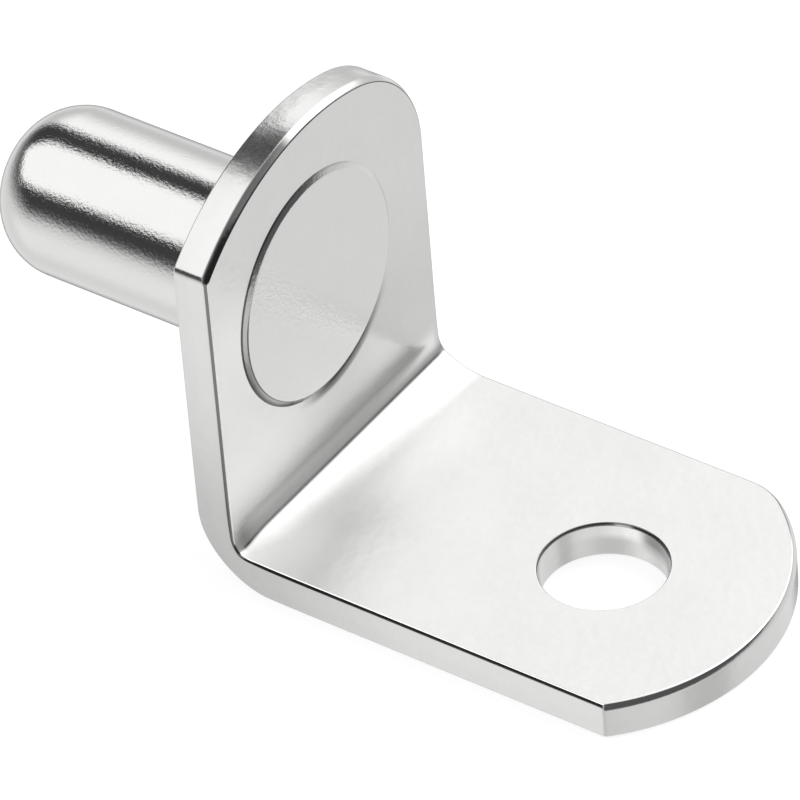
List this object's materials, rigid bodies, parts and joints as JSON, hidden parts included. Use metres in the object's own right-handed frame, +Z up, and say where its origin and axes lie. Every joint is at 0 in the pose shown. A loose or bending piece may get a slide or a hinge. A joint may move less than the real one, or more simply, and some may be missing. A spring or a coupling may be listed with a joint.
{
  "type": "shelf support pin",
  "caption": "L-shaped plated steel shelf support: bent strip with a rounded flange and screw hole, and a solid bull-nosed peg riveted through its arched leg.",
  "frame": {"origin": "on the peg's axis, in the plane of the leg's back face, which lies against the cabinet side", "axes": "+Y along the peg into the cabinet side, so the flange reaches out along -Y; +Z up, towards the shelf that lies on the flange; X across the strip"},
  "size_m": [0.0128, 0.0309, 0.0164],
  "materials": {
    "bracket_nickel_plate": "gloss",
    "peg_nickel_plate": "gloss"
  },
  "bodies": {
    "root": {"bracket": "bracket_nickel_plate", "peg": "peg_nickel_plate"}
  },
  "joints": []
}
